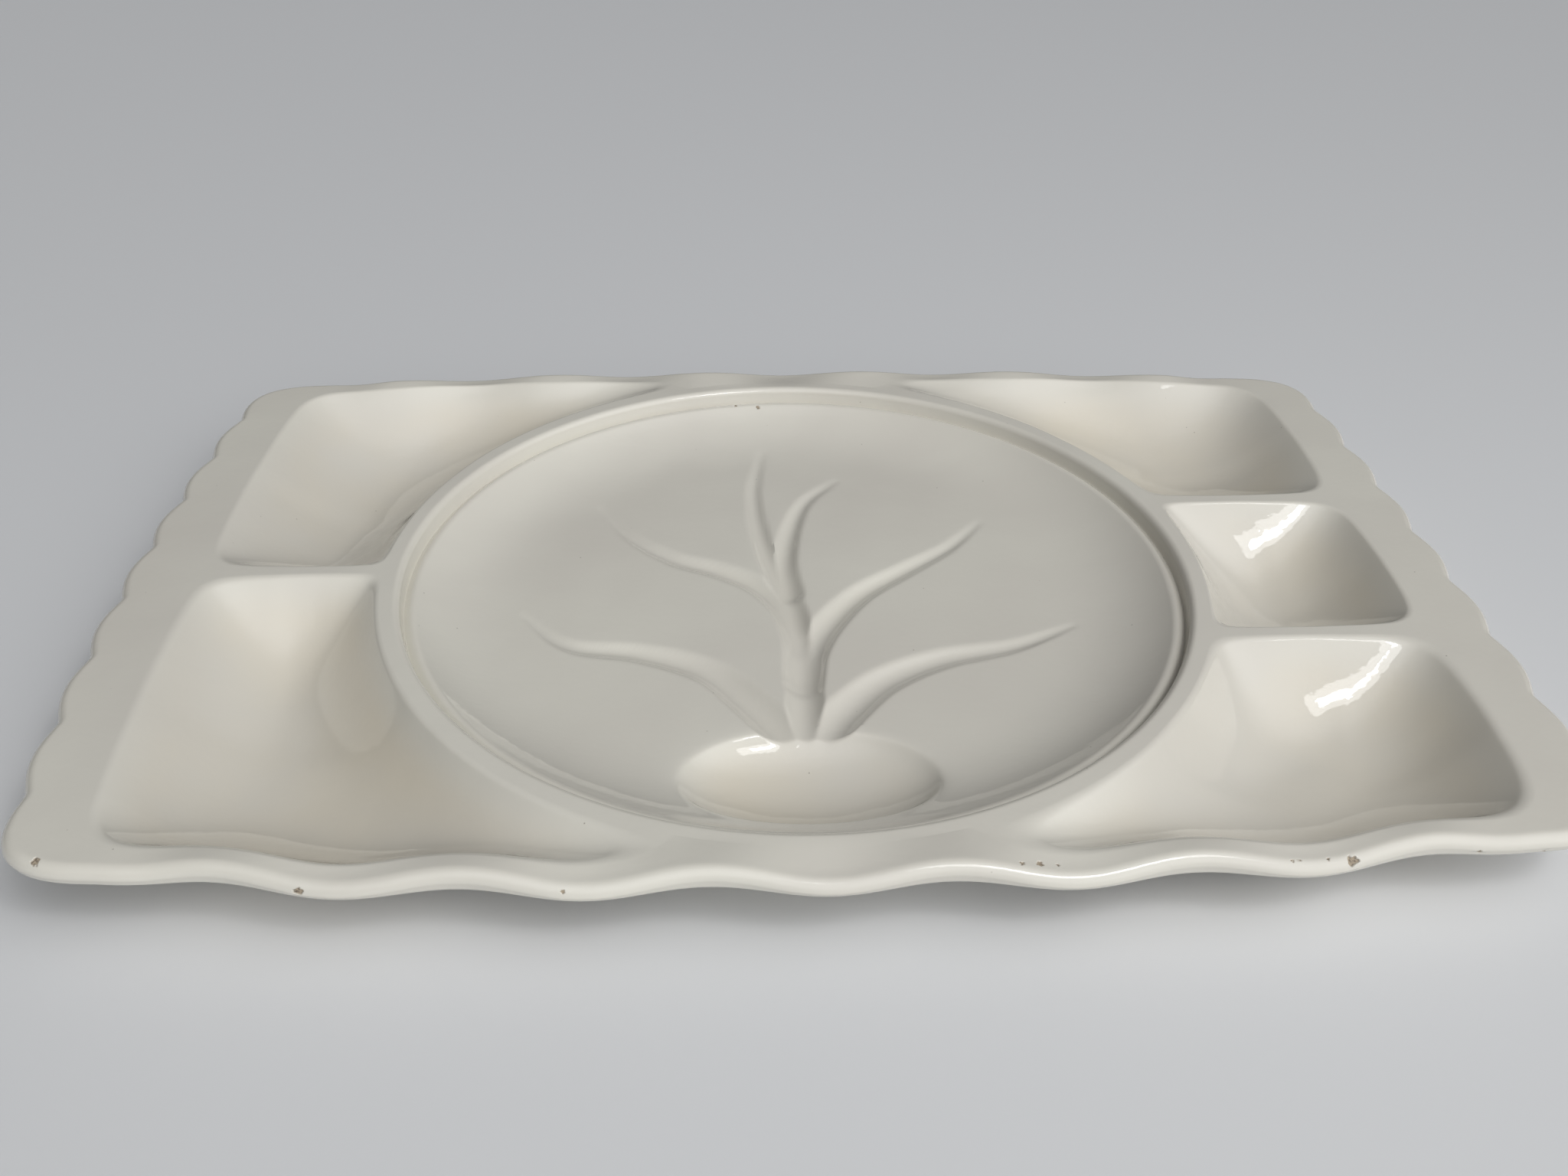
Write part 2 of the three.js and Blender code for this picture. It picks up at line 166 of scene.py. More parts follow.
def lipLift(x, y, z):
    # the long lips dip where they swing out and rise where they swing in, the underside less
    swing = -math.cos(2 * math.pi * x / lip["longPitch"])
    nearEdge = 1 - smoothStep(longEdgeY(x) - abs(y), *lip["riseDepth"])
    awayFromCorner = 1 - smoothStep(abs(x), lip["longSpan"], lip["cornerStart"])
    below, deep, shallow = lip["riseBelow"]
    share = mix(below, 1.0, smoothStep(z, dish["deck"] - deep, dish["deck"] - shallow))
    return lip["rise"] * swing * nearEdge * awayFromCorner * share


def sideSwell(x, y):
    middle = max(0.0, 1 - (y / lip["sideSpan"]) ** 2)
    return -lip["leftSwell"] * middle * smoothStep(-x, lip["swellFrom"], dish["halfLength"])


# glazed earthenware, slip cast, dipped and fired: a warm white glassy coat, thinner on sharp edges, with
# a faint orange peel that makes reflections wobble, a few pinholes, and bare clay on the foot and in the
# chips; deep in the hollows a warmer, slightly darker tone is painted in, partly pooled glaze, partly
# painted shade
glazeLook = {
    "colour": "#DEDBD0",
    "cloud": "#D8D4CA",
    "thin": "#D4CDC0",
    # warmer, darker tone painted deep in hollows: partly pooled glaze, partly painted shade and warm
    # bounce light
    "shadeAndPoolTint": "#DCD5C5",
    "pinhole": "#6E655A",
    "biscuit": "#A79A87",
    "grain": "#776C5E",  # dirt in the bare clay
    "roughness": 0.045,
    "biscuitRoughness": 0.85,
    "ior": 1.52,
    "cloudSize": 110.0,  # millimetres, as all sizes here
    "cloudRange": (0.35, 0.65),  # part of the noise that the change of tone takes up
    "peelSize": 3.2,
    "peelDepth": 0.055,
    "rippleSize": 26.0,
    "rippleShare": 5.0,  # ripple height over peel height
    "pinholeGap": 13.0,
    "pinholeRadius": 0.42,
    "pinholeMost": 0.8,
    "grainSize": 0.8,
    "grainRange": (0.5, 0.62),
    "footHeight": 0.35,
    "thinFrom": 0.10,  # bend of the surface, in radians per millimetre, where the glaze starts to thin
    "thinTo": 0.36,
    "thinMost": 0.08,
    "thinSpan": 0.05,  # shortest distance that a bend is measured over
}
noiseDetail = {"cloud": 3, "grain": 2, "ripple": 1, "peel": 1}
mixedFrom, mixedTo, mixedOut = 6, 7, 2  # the colour sockets of a mix node


def glazeMaterial():
    material = bpy.data.materials.new("glazedEarthenware")
    material.use_nodes = True
    tree = material.node_tree
    shader = tree.nodes["Principled BSDF"]
    look = glazeLook
    place = addNode(tree, "ShaderNodeTexCoord", "Object")

    marks = {}  # what the meshes say of themselves
    for name in ("shadeAndPooledGlaze", "thinGlaze", "chip"):
        marks[name] = addNode(tree, "ShaderNodeAttribute", "Fac", {"attribute_name": name})

    patterns = {}
    for name, detail in noiseDetail.items():
        inputs = {"Vector": place, "Scale": 1 / (look[name + "Size"] * mm), "Detail": detail}
        patterns[name] = addNode(tree, "ShaderNodeTexNoise", "Fac", inputs=inputs)

    # shares that run from a start to an end while a value goes from low to high
    cells = {"Vector": place, "Scale": 1 / (look["pinholeGap"] * mm)}
    toCentre = addNode(tree, "ShaderNodeTexVoronoi", "Distance", inputs=cells)
    height = addNode(tree, "ShaderNodeSeparateXYZ", "Z", inputs={0: place})
    footTop = look["footHeight"] * mm
    runs = {
        "cloud": (patterns["cloud"], *look["cloudRange"], 0.0, 1.0),
        "grain": (patterns["grain"], *look["grainRange"], 0.0, 1.0),
        "pinhole": (toCentre, 0.0, look["pinholeRadius"] / look["pinholeGap"], look["pinholeMost"], 0.0),
        "foot": (height, footTop / 2, footTop, 1.0, 0.0),
    }
    shares = {}
    for name, (value, low, high, start, end) in runs.items():
        inputs = {"Value": value, "From Min": low, "From Max": high, "To Min": start, "To Max": end}
        shares[name] = addNode(tree, "ShaderNodeMapRange", "Result", inputs=inputs)
    inputs = {0: shares["foot"], 1: marks["chip"]}
    bare = addNode(tree, "ShaderNodeMath", "Value", {"operation": "MAXIMUM"}, inputs)

    # colours laid over each other in turn, the bare clay last
    inputs = {"Factor": shares["grain"], mixedFrom: srgb(look["biscuit"]), mixedTo: srgb(look["grain"])}
    clay = addNode(tree, "ShaderNodeMix", mixedOut, {"data_type": "RGBA"}, inputs)
    layers = [
        # painted shade and pooled glaze, deep in the hollows
        (marks["shadeAndPooledGlaze"], srgb(look["shadeAndPoolTint"])),
        (shares["cloud"], srgb(look["cloud"])),
        (marks["thinGlaze"], srgb(look["thin"])),
        (shares["pinhole"], srgb(look["pinhole"])),
        (bare, clay),
    ]
    colour = srgb(look["colour"])
    for share, over in layers:
        inputs = {"Factor": share, mixedFrom: colour, mixedTo: over}
        colour = addNode(tree, "ShaderNodeMix", mixedOut, {"data_type": "RGBA"}, inputs)

    inputs = {"Value": bare, "To Min": look["roughness"], "To Max": look["biscuitRoughness"]}
    rough = addNode(tree, "ShaderNodeMapRange", "Result", inputs=inputs)
    inputs = {0: patterns["ripple"], 1: look["rippleShare"], 2: patterns["peel"]}
    relief = addNode(tree, "ShaderNodeMath", "Value", {"operation": "MULTIPLY_ADD"}, inputs)
    inputs = {"Height": relief, "Distance": look["peelDepth"] * mm, "Strength": 1.0}
    bump = addNode(tree, "ShaderNodeBump", "Normal", inputs=inputs)
    for socket, value in (("Base Color", colour), ("Roughness", rough), ("Normal", bump)):
        tree.links.new(value, shader.inputs[socket])
    shader.inputs["IOR"].default_value = look["ior"]
    return material


glaze = glazeMaterial()
print("glaze ready")


# mesh helpers
def resampled(points, count, closed=True):
    # points at an even spacing along a path
    path = points + points[:1] if closed else points
    along = [0.0]
    for a, b in zip(path, path[1:]):
        along.append(along[-1] + (b - a).length)
    steps = count if closed else count - 1
    made, k = [], 0
    for i in range(count):
        target = along[-1] * i / steps
        while k < len(path) - 2 and along[k + 1] < target:
            k += 1
        share = (target - along[k]) / max(along[k + 1] - along[k], tiny)
        made.append(path[k].lerp(path[k + 1], share))
    return made


weldDigits = 6  # points that agree in this many decimals of a millimetre become one


def gridMesh(around, across, place):
    # a grid whose columns go round and whose rows run through a section, moved into place and closed
    bm = bmesh.new()
    half = 0.5  # of a grid that is 1 wide
    bmesh.ops.create_grid(bm, x_segments=around, y_segments=across, size=half)
    firsts, twins = {}, {}
    for v in bm.verts:
        v.co = place(v.co.x + half, v.co.y + half)
        first = firsts.setdefault(v.co.to_tuple(weldDigits), v)
        if first is not v:
            twins[v] = first
    bmesh.ops.weld_verts(bm, targetmap=twins)
    return bm


def markThinGlaze(bm):
    # the glaze runs off where the surface bends sharply outwards
    layer = bm.verts.layers.float.new("thinGlaze")
    for edge in bm.edges:
        angle = edge.calc_face_angle_signed(0.0)
        if angle <= 0 or angle > dish["crease"]:
            continue
        a, b = (face.calc_center_median() for face in edge.link_faces)
        bend = angle / max((a - b).length, glazeLook["thinSpan"])
        thin = glazeLook["thinMost"] * smoothStep(bend, glazeLook["thinFrom"], glazeLook["thinTo"])
        for v in edge.verts:
            v[layer] = max(v[layer], thin)


def markShadeAndPooledGlaze(bm, depths):
    # painted shade and pooled glaze, by depth: none above the first depth below the flat top, all of it
    # from the second on
    layer = bm.verts.layers.float.new("shadeAndPooledGlaze")
    for v in bm.verts:
        v[layer] = smoothStep(dish["deck"] - v.co.z, *depths)


chipLook = {
    "reach": 2.0,  # the mesh is made finer out to this many sizes
    "margin": 1.0,  # and this many millimetres more
    "cuts": 5,
    "wander": 0.5,  # how far the outline strays, as a share of the size
    "wanderings": 1.7,  # how often it does, to a size
    "edge": 0.25,  # share of the way in at which the full depth is reached
    "uneven": 0.4,  # how far the broken face strays, as a share of the depth
    "bumps": 2.3,  # how often it does, to a millimetre
}


def cutChips(bm, chips):
    # small ragged dents that lay the clay bare
    bare = bm.verts.layers.float.new("chip")
    for chip in chips:
        centre, size = Vector(chip["at"]), chip["size"]
        reach = chipLook["reach"] * size + chipLook["margin"]
        near = {v for v in bm.verts if (v.co - centre).length < reach}
        edges = [edge for edge in bm.edges if near.issuperset(edge.verts)]
        bmesh.ops.subdivide_edges(bm, edges=edges, cuts=chipLook["cuts"], use_grid_fill=True)
        bm.normal_update()
        for v in bm.verts:
            away = (v.co - centre).length
            wander = chipLook["wander"] * noise.noise(v.co * chipLook["wanderings"] / size)
            outline = size * (1 + wander)
            if away < outline:
                inside = smoothStep(1 - away / outline, 0, chipLook["edge"])
                uneven = 1 + chipLook["uneven"] * noise.noise(v.co * chipLook["bumps"])
                v.co -= v.normal * chip["deep"] * inside * uneven
                v[bare] = max(v[bare], inside)


def finishPiece(bm, name, node, shadeAndPoolDepths, chips=()):
    for v in bm.verts:
        v.co += Vector((sideSwell(v.co.x, v.co.y), 0, lipLift(*v.co)))
    bmesh.ops.recalc_face_normals(bm, faces=bm.faces)
    cutChips(bm, chips)
    markThinGlaze(bm)
    # a warmer, darker tone deep down: partly pooled glaze, partly painted shade
    markShadeAndPooledGlaze(bm, shadeAndPoolDepths)
    bmesh.ops.scale(bm, vec=(mm, mm, mm), verts=bm.verts)
    for face in bm.faces:
        face.smooth = True
    mesh = bpy.data.meshes.new(name)
    bm.to_mesh(mesh)
    bm.free()
    mesh.set_sharp_from_angle(angle=dish["crease"])
    mesh.materials.append(glaze)
    piece = bpy.data.objects.new(name, mesh)
    bpy.context.scene.collection.objects.link(piece)
    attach(piece, "root")
    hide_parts(node)
    print("made", name, len(mesh.polygons), "faces")


# the round plate with its drain grooves
plate = {
    "ringLedge": 4.6,
    "ringRound": 3.0,
    "stepDrop": 6.5,
    "riserLean": 0.6,
    "riserFoot": 1.2,  # fillet where the riser meets the shelf
    "shelf": 6.2,
    "shelfDip": 4.2,  # fall of the shelf towards the riser, which leaves a bead at its inner edge
    "shelfEdge": 2.4,  # rounding of that bead
    "depth": 18.0,
    "coveRun": 50.0,
    "coveSteepening": 3.0,  # above 2, the slope grows steeper towards the bead
    "trunkTaper": 0.5,
    "branchTaper": 1.3,
    "grooveEdge": 0.14,  # softness of the grooves' edges, as a share of their depth
    "grooveReach": 2.0,  # half widths past which a groove no longer counts
    "jointSharpness": 8,
    "drawnHeight": 218.0,
    "tipSetback": 29.0,
    "shadeAndPoolDepths": (18.0, 30.0),  # painted shade and pooled glaze, from the floor down, in the grooves and the well
    "around": 480,  # columns of the mesh
    "across": 112,
    "under": 10,
    "seamRow": 0.15,  # a close row beside the seam
    "ledgeRows": (3.0, 0.6),  # rows on the ledge, outside its rounded edge
    "edgeRows": 10,
    "riserRows": (16, 0.14),  # count and spacing
    "shelfRows": (25, 0.36),
    "curveSteps": 24,  # between two drawn points of a groove
    "grooveSamples": 160,
}
plate["ring"] = dish["ledgeRadius"] - plate["ringLedge"]
plate["step"] = plate["ring"] - plate["ringRound"]
plate["cove"] = plate["step"] - plate["shelf"]
plate["floor"] = plate["cove"] - plate["coveRun"]

# the juice well
wellLow, wellHigh = boxMm("juice_well")
well = {
    "margin": 5.0,
    "depth": 13.5,
    "steepness": 0.62,  # below 1, the walls are steeper than the bottom
    "edge": 0.06,  # softness of the dent's edge, as a share of its size
    "lowest": 1.0,
    "centreY": (wellLow.y + wellHigh.y) / 2,
    "across": 60,
    "under": 9,
}
well["outerX"] = (wellHigh.x - wellLow.x) / 2 + dish["seam"]
well["outerY"] = (wellHigh.y - wellLow.y) / 2 + dish["seam"]
well["halfX"] = well["outerX"] - well["margin"]
well["halfY"] = well["outerY"] - well["margin"]

# the tree, in millimetres from the middle of the well's inner edge: half widths and depths of each
# groove at its root and at its tip, and the points that it runs through
trunk = {"half": (10.5, 6.5), "depth": (4.8, 4.0), "path": [(0, -22), (0, -4), (1, 20), (2, 44), (2, 62)]}
branches = [
    {"half": (10.0, 2.2), "depth": (4.6, 0.3),
     "path": [(-3, -16), (-8, -2), (-21, 18), (-38, 38), (-65, 50), (-94, 56), (-115, 78)]},
    {"half": (10.0, 2.2), "depth": (4.6, 0.3),
     "path": [(3, -16), (8, -2), (18, 13), (34, 30), (58, 43), (89, 51), (117, 65)]},
    {"half": (8.0, 2.2), "depth": (4.6, 0.3),
     "path": [(1, 34), (1, 58), (-5, 82), (-16, 99), (-33, 111), (-53, 121), (-73, 140), (-88, 165)]},
    {"half": (8.0, 2.2), "depth": (4.6, 0.3),
     "path": [(1, 28), (5, 50), (14, 70), (29, 91), (49, 108), (72, 127), (90, 149)]},
    {"half": (6.5, 2.2), "depth": (4.2, 0.3),
     "path": [(1, 54), (-1, 80), (-7, 106), (-13, 139), (-15, 178), (-10, 218)]},
    {"half": (6.5, 2.2), "depth": (4.0, 0.3),
     "path": [(-2, 92), (-3, 118), (2, 148), (10, 170), (26, 189)]},
]


def groovePath(groove, taper):
    # a smooth curve through the drawn points, with a half width and a depth at each sample
    edge = well["centreY"] + well["halfY"]
    scale = (plate["cove"] - plate["tipSetback"] - edge) / plate["drawnHeight"]
    places = [Vector((x * scale, edge + y * scale)) for x, y in groove["path"]]
    places = [places[0] * 2 - places[1]] + places + [places[-1] * 2 - places[-2]]
    curve = []
    for a, b, c, d in zip(places, places[1:], places[2:], places[3:]):
        for i in range(plate["curveSteps"]):
            t = i / plate["curveSteps"]
            bend = (c - a) * t + (a * 2 - b * 5 + c * 4 - d) * t ** 2 + (b * 3 - a - c * 3 + d) * t ** 3
            curve.append(b + bend / 2)
    curve = resampled(curve, plate["grooveSamples"], closed=False)
    finder = kdtree.KDTree(len(curve))
    for i, point in enumerate(curve):
        finder.insert((point.x, point.y, 0), i)
    finder.balance()
    shares = [(i / (len(curve) - 1)) ** taper for i in range(len(curve))]
    return finder, [(mix(*groove["half"], t), mix(*groove["depth"], t)) for t in shares]


grooves = [groovePath(trunk, plate["trunkTaper"])]
grooves += [groovePath(branch, plate["branchTaper"]) for branch in branches]


def softPart(inside, edge):
    # the part above nothing, with a soft start
    return (inside + math.hypot(inside, edge)) / 2


def wellDrop(x, y):
    inside = 1 - (x / well["halfX"]) ** 2 - ((y - well["centreY"]) / well["halfY"]) ** 2
    return well["depth"] * softPart(inside, well["edge"]) ** well["steepness"]


def carvedDrop(x, y):
    # the grooves and the well run into each other without creases
    power = plate["jointSharpness"]
    total = wellDrop(x, y) ** power
    for finder, sizes in grooves:
        _, index, distance = finder.find((x, y, 0))
        half, depth = sizes[index]
        if distance < plate["grooveReach"] * half:
            total += (depth * softPart(1 - (distance / half) ** 2, plate["grooveEdge"])) ** power
    return total ** (1 / power)


def coveTop(radius):
    # the plate's slope, and the shelf that it ends in below the riser
    out = max(radius - plate["floor"], 0.0) / plate["coveRun"]
    slope = -plate["depth"] + (plate["depth"] - plate["stepDrop"]) * out ** plate["coveSteepening"]
    across = min((radius - plate["cove"]) / plate["shelf"], 1.0)
    shelf = -plate["stepDrop"] + plate["shelfDip"] * (0.5 - across)
    return dish["deck"] + smoothMin(slope, shelf, plate["shelfEdge"])


def plateTop(x, y):
    radius = math.hypot(x, y)
    edgeFoot = dish["deck"] - plate["ringRound"]
    if radius >= plate["ring"]:
        return dish["deck"]
    if radius > plate["step"]:
        run = plate["ring"] - radius
        return edgeFoot + math.sqrt(max(plate["ringRound"] ** 2 - run ** 2, 0.0))
    steep = (plate["stepDrop"] - plate["ringRound"]) / plate["riserLean"]
    riser = edgeFoot - (plate["step"] - radius) * steep
    height = -smoothMin(-coveTop(radius), -riser, plate["riserFoot"])
    return min(height, edgeFoot) - carvedDrop(x, y)


def plateUnder(x, y):
    radius = math.hypot(x, y)
    height = coveTop(radius)
    if radius > plate["cove"]:
        height = mix(height, dish["deck"], smoothStep(radius, plate["step"], dish["ledgeRadius"]))
    return max(well["lowest"], height - dish["wall"] - wellDrop(x, y))


def ovalAt(turn):
    return Vector((well["outerX"] * math.cos(turn), well["centreY"] + well["outerY"] * math.sin(turn)))


def ringRadii():
    # close rows over the rounded edge, the riser and its foot
    radii = [dish["ledgeRadius"], dish["ledgeRadius"] - plate["seamRow"]]
    radii += [plate["ring"] + out for out in plate["ledgeRows"]]
    for i in range(plate["edgeRows"] + 1):
        turn = math.pi / 2 * i / plate["edgeRows"]
        radii.append(plate["ring"] - plate["ringRound"] * math.sin(turn))
    for count, gap in (plate["riserRows"], plate["shelfRows"]):
        start = radii[-1]
        radii += [start - gap * i for i in range(1, count + 1)]
    return radii


def plateMesh():
    radii = ringRadii()
    inward, under = plate["across"], plate["under"]
    rows = len(radii) + inward + under

    def place(u, v):
        turn = u * 2 * math.pi
        row = round(v * rows) % rows
        circle = Vector((math.cos(turn), math.sin(turn)))
        if row < len(radii):
            spot = circle * radii[row]
        elif row < len(radii) + inward:
            spot = (circle * radii[-1]).lerp(ovalAt(turn), (row - len(radii) + 1) / inward)
        else:
            spot = ovalAt(turn).lerp(circle * radii[0], (row - len(radii) - inward) / (under - 1))
            return Vector((spot.x + dish["axisX"], spot.y, plateUnder(spot.x, spot.y)))
        return Vector((spot.x + dish["axisX"], spot.y, plateTop(spot.x, spot.y)))

    return gridMesh(plate["around"], rows, place)


def wellMesh():
    across, under = well["across"], well["under"]
    rows = across + under
    centre = Vector((0, well["centreY"]))

    def place(u, v):
        turn = u * 2 * math.pi
        row = round(v * rows)
        if row <= across:
            spot = centre.lerp(ovalAt(turn), math.sin(math.pi / 2 * row / across))
            return Vector((spot.x + dish["axisX"], spot.y, plateTop(spot.x, spot.y)))
        spot = centre.lerp(ovalAt(turn), 1 - (row - across - 1) / (under - 1))
        return Vector((spot.x + dish["axisX"], spot.y, plateUnder(spot.x, spot.y)))

    return gridMesh(plate["around"], rows, place)


# knocks at the back of the ring
plateChips = [
    {"at": (-25.5, 157.8, 31.4), "size": 1.0, "deep": 0.15},
    {"at": (-14.0, 157.2, 31.2), "size": 1.2, "deep": 0.15},
]
finishPiece(plateMesh(), "carvingPlate", "carving_plate", plate["shadeAndPoolDepths"], plateChips)
finishPiece(wellMesh(), "juiceWell", "juice_well", plate["shadeAndPoolDepths"])

# the compartments, each worked out in the quarter +x, +y of the plate's axis
bowlShape = {
    "rimSoft": 4.0,  # the edge towards the rim rolls over more softly
    "rimCorner": 8.0,
    "longCorner": 11.0,
    "ringCorner": 4.0,
    "tipCorner": 10.0,
    "cornerBlend": 20.0,  # a corner's rounding gives way to the next one's over this much either way
    "floorDeepening": 0.4,  # how fast the floor grows rounder where opposite walls meet
    "longBand": 8.5,
    # depths below the deck over which the painted shade and pooled glaze fade in
    "shadeAndPoolDepths": (1.0, 14.0),
    "heart": (176.0, 142.0),  # point that the mesh closes in on; it sees the whole mouth
    "heartSetback": 40.0,  # the middle bowl's heart lies this far inside its rim edge
    "around": 420,  # columns of the mesh
    "across": 64,
    "under": 14,
    "sideSamples": 40,
    "arcSamples": 60,
    "search": (0.1, 1.02),  # shares of the way out between which the mouth is looked for
    "searchSteps": 40,
    "slopeStep": 0.05,
}
# each bowl's steepest slope in degrees, how fast its corners grow rounder towards the floor, the
# rounding of its mouth and how far it runs on towards the rim
bowls = [
    {"node": "front_right_compartment", "name": "frontRightBowl", "sx": 1, "sy": -1,
     "steepest": 60, "deepening": 1.2, "edge": 3.0, "reach": 6.0},
    {"node": "middle_right_compartment", "name": "middleRightBowl", "sx": 1, "sy": 1,
     "steepest": 60, "deepening": 1.2, "edge": 1.5, "reach": 6.0},
    {"node": "back_right_compartment", "name": "backRightBowl", "sx": 1, "sy": 1,
     "steepest": 50, "deepening": 1.2, "edge": 2.0, "reach": 6.0},
    {"node": "back_left_compartment", "name": "backLeftBowl", "sx": -1, "sy": 1,
     "steepest": 52, "deepening": 1.1, "edge": 1.8, "reach": 4.0},
    {"node": "front_left_compartment", "name": "frontLeftBowl", "sx": -1, "sy": -1,
     "steepest": 54, "deepening": 0.9, "edge": 3.0, "reach": 4.0},
]
for bowl in bowls:
    low, high = boxMm(bowl["node"])
    seam = dish["seam"]
    rimSide = high.x + seam if bowl["sx"] > 0 else low.x - seam
    bowl["rim"] = bowl["sx"] * (rimSide - dish["axisX"]) + bowl["reach"]
    bowl["low"] = low.y - seam if bowl["sy"] > 0 else -(high.y + seam)
    bowl["high"] = None  # the long lip bounds it
    bowl["heart"] = bowlShape["heart"]
    if bowl["node"].startswith("middle"):
        bowl["high"] = high.y + seam
        bowl["heart"] = (bowl["rim"] - bowlShape["heartSetback"], (bowl["low"] + bowl["high"]) / 2)
    bowl["depth"] = dish["deck"] - dish["wall"]


def longSideOf(bowl, x):
    fromMiddle = x + bowl["sx"] * dish["axisX"]
    return longEdgeY(fromMiddle) + longWave(fromMiddle) - bowlShape["longBand"]


def softMin(a, b, reach, deepening):
    # the smaller of two distances, rounded ever more widely as both grow
    if a > 0 and b > 0:
        reach += deepening * a * b / (a + b)
    return (a + b - math.hypot(a - b, reach)) / 2


def bowlInset(bowl, x, y):
    # distance from the bowl's mouth, with corners that grow rounder as they go down
    rim = bowl["rim"] - x
    if rim > 0:
        rim = math.hypot(rim, bowlShape["rimSoft"]) - bowlShape["rimSoft"]
    ring = math.hypot(x, y) - dish["ledgeRadius"]
    near = y - bowl["low"]
    far = (bowl["high"] or longSideOf(bowl, x)) - y
    span = bowlShape["cornerBlend"]
    towardsRim = smoothStep(ring - rim, -span, span)
    nearReach = mix(bowlShape["ringCorner"], bowlShape["rimCorner"], towardsRim)
    farReach = nearReach
    if not bowl["high"]:
        farReach = mix(bowlShape["tipCorner"], bowlShape["longCorner"], towardsRim)
    reach = mix(nearReach, farReach, smoothStep(near - far, -span, span))
    ends = softMin(near, far, 0.0, bowlShape["floorDeepening"])
    sides = softMin(rim, ring, 0.0, bowlShape["floorDeepening"])
    return softMin(ends, sides, reach, bowl["deepening"])


def bowlDrop(bowl, inset):
    # a rounded edge, then a soft slope that runs out into the floor
    edge, turn = bowl["edge"], math.radians(bowl["steepest"])
    start, startDrop = edge * math.sin(turn), edge * (1 - math.cos(turn))
    if inset <= 0:
        return 0.0
    if inset < start:
        return edge - math.sqrt(edge ** 2 - inset ** 2)
    left = bowl["depth"] - startDrop
    return startDrop + left * math.sin(min(math.pi / 2, (inset - start) * math.tan(turn) / left))


def mouthLoop(bowl):
    # points where the inset is nothing, found along rays from the heart
    heart = Vector(bowl["heart"])
    radius = dish["ledgeRadius"]

    def onRing(y):
        return Vector((math.sqrt(radius ** 2 - y ** 2), y))

    corners = [onRing(bowl["low"]), Vector((bowl["rim"], bowl["low"]))]
    if bowl["high"]:
        corners += [Vector((bowl["rim"], bowl["high"])), onRing(bowl["high"])]
    else:
        tip = onRing(longSideOf(bowl, 0) - bowlShape["tipCorner"])
        for i in range(bowlShape["sideSamples"] + 1):
            x = mix(bowl["rim"], tip.x, i / bowlShape["sideSamples"])
            corners.append(Vector((x, longSideOf(bowl, x))))
        corners.append(tip)
    startTurn = math.atan2(corners[-1].y, corners[-1].x)
    endTurn = math.atan2(corners[0].y, corners[0].x)
    for i in range(1, bowlShape["arcSamples"]):
        turn = mix(startTurn, endTurn, i / bowlShape["arcSamples"])
        corners.append(Vector((radius * math.cos(turn), radius * math.sin(turn))))
    loop = []
    for corner in resampled(corners, bowlShape["around"]):
        inside, outside = bowlShape["search"]
        for _ in range(bowlShape["searchSteps"]):
            middle = (inside + outside) / 2
            trial = heart.lerp(corner, middle)
            if bowlInset(bowl, trial.x, trial.y) > 0:
                inside = middle
            else:
                outside = middle
        loop.append(heart.lerp(corner, outside))
    return loop


def bowlMesh(bowl):
    heart = Vector(bowl["heart"])
    around, across, under = (bowlShape[key] for key in ("around", "across", "under"))
    rows = across + under + 1

    def underHeight(inset):
        ahead = bowlDrop(bowl, inset + bowlShape["slopeStep"])
        steep = (ahead - bowlDrop(bowl, inset)) / bowlShape["slopeStep"]
        return max(0.0, dish["deck"] - bowlDrop(bowl, inset) - dish["wall"] * math.hypot(1, steep))

    def place(u, v):
        edge = bowl["mouth"][round(u * around) % around]
        row = round(v * rows)
        if row <= across:
            spot = heart.lerp(edge, math.sin(math.pi / 2 * row / across))
            height = dish["deck"]
            if row < across:
                height -= bowlDrop(bowl, bowlInset(bowl, spot.x, spot.y))
        else:
            spot = heart.lerp(edge, math.cos(math.pi / 2 * (row - across - 1) / under))
            height = dish["deck"] - dish["wall"]
            if row > across + 1:
                height = underHeight(bowlInset(bowl, spot.x, spot.y))
        return Vector((bowl["sx"] * spot.x + dish["axisX"], bowl["sy"] * spot.y, height))

    return gridMesh(around, rows, place)


for bowl in bowls:
    bowl["mouth"] = mouthLoop(bowl)
    finishPiece(bowlMesh(bowl), bowl["name"], bowl["node"], bowlShape["shadeAndPoolDepths"])


# the rim: its outline first
def edgeWave(x, y):
    # how far the scallops stand out from the calm edge
    if abs(x) < lip["cornerStart"]:
        return longWave(x)
    if abs(y) > lip["sideSpan"]:
        return 0.0
    soft = lip["valleySoftness"]
    lobe = math.sin(math.pi * (y + lip["sideSpan"]) / lip["sidePitch"])
    return lip["sideLobeDepth"] * (math.hypot(lobe, soft) - soft) / (math.hypot(1, soft) - soft)


